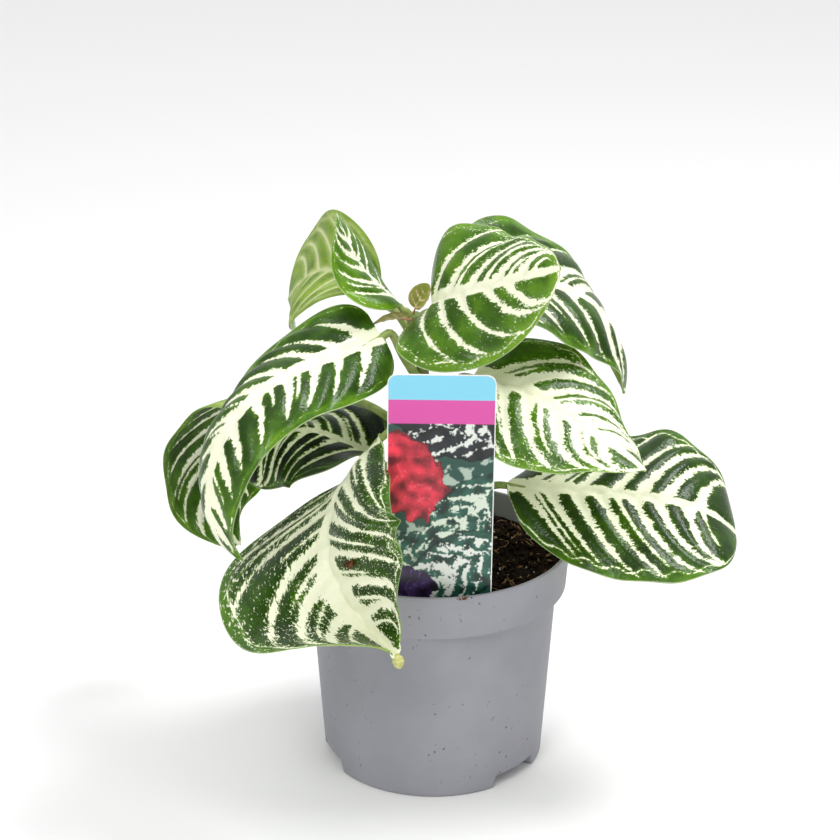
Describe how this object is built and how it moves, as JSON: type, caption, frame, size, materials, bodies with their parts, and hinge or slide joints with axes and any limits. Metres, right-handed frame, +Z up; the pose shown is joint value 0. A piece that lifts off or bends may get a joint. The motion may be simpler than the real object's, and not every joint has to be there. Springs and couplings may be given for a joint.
{
  "type": "potted zebra plant",
  "caption": "Leafy house plant with white-veined dark green leaves, growing from potting soil in a round tapered nursery pot with a plain care label.",
  "frame": {"origin": "centre of the flat underside of the pot", "axes": "+Z up along the pot's axis; -Y towards the care label, the front; +X to the right seen from the front"},
  "size_m": [0.2534, 0.1852, 0.2508],
  "materials": {
    "pot_plastic": "satin moulded grey plastic with a few specks of soil",
    "soil": null,
    "stem_green": null,
    "label_card": null,
    "leaf_blade": null,
    "young_leaf": null
  },
  "bodies": {
    "root": {"pot": "pot_plastic", "potting_soil": "soil", "main_stem": "stem_green", "plant_label": "label_card", "leaf_low_right": "leaf_blade", "leaf_low_back_left": "leaf_blade", "leaf_low_front": "leaf_blade", "leaf_far_left": "leaf_blade", "leaf_mid_right": "leaf_blade", "leaf_mid_left": "leaf_blade", "leaf_top_back_right": "leaf_blade", "leaf_top_back_left": "leaf_blade", "leaf_top_front": "leaf_blade", "leaf_top_left": "leaf_blade", "young_leaf_left": "young_leaf", "young_leaf_right": "young_leaf"}
  },
  "joints": []
}
